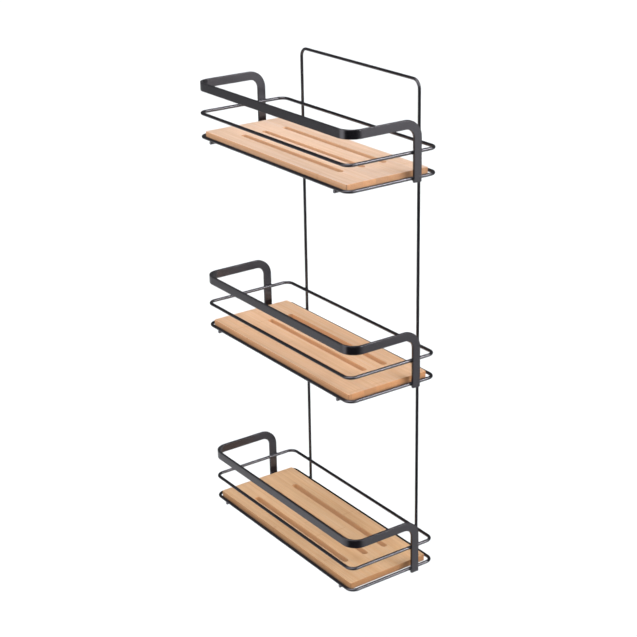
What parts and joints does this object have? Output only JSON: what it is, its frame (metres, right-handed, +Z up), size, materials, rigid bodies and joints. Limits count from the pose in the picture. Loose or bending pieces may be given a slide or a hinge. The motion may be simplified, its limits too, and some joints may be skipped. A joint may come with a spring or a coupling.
{
  "type": "shower caddy",
  "caption": "Tall wall-hung shower caddy of black steel wire and flat bar, with tiered shallow baskets that each hold a slotted bamboo board.",
  "frame": {"origin": "middle of the hanging bar, on the centre line of its wire, where wall hooks take it", "axes": "+X to the right along the shelves, +Y back towards the wall, +Z up; the back frame's wires lie in the plane Y = 0"},
  "size_m": [0.2996, 0.1252, 0.5724],
  "materials": {
    "black_powder_coat": "satin black powder coat",
    "bamboo": "fine-sanded bamboo under a thin clear oil"
  },
  "bodies": {
    "welded_rack": {"back_frame": "black_powder_coat", "top_upper_ring": "black_powder_coat", "top_lower_ring": "black_powder_coat", "top_guard_rail": "black_powder_coat", "top_left_cross_wire": "black_powder_coat", "top_right_cross_wire": "black_powder_coat", "middle_upper_ring": "black_powder_coat", "middle_lower_ring": "black_powder_coat", "middle_guard_rail": "black_powder_coat", "middle_left_cross_wire": "black_powder_coat", "middle_right_cross_wire": "black_powder_coat", "bottom_upper_ring": "black_powder_coat", "bottom_lower_ring": "black_powder_coat", "bottom_guard_rail": "black_powder_coat", "bottom_left_cross_wire": "black_powder_coat", "bottom_right_cross_wire": "black_powder_coat"},
    "top_board": {"top_shelf_board": "bamboo"},
    "middle_board": {"middle_shelf_board": "bamboo"},
    "bottom_board": {"bottom_shelf_board": "bamboo"}
  },
  "joints": [
    {"name": "top_board_lift", "type": "slide", "parent": "welded_rack", "child": "top_board", "axis": [0, 0, 1], "range_m": [0, 0.07]},
    {"name": "middle_board_lift", "type": "slide", "parent": "welded_rack", "child": "middle_board", "axis": [0, 0, 1], "range_m": [0, 0.07]},
    {"name": "bottom_board_lift", "type": "slide", "parent": "welded_rack", "child": "bottom_board", "axis": [0, 0, 1], "range_m": [0, 0.07]}
  ]
}
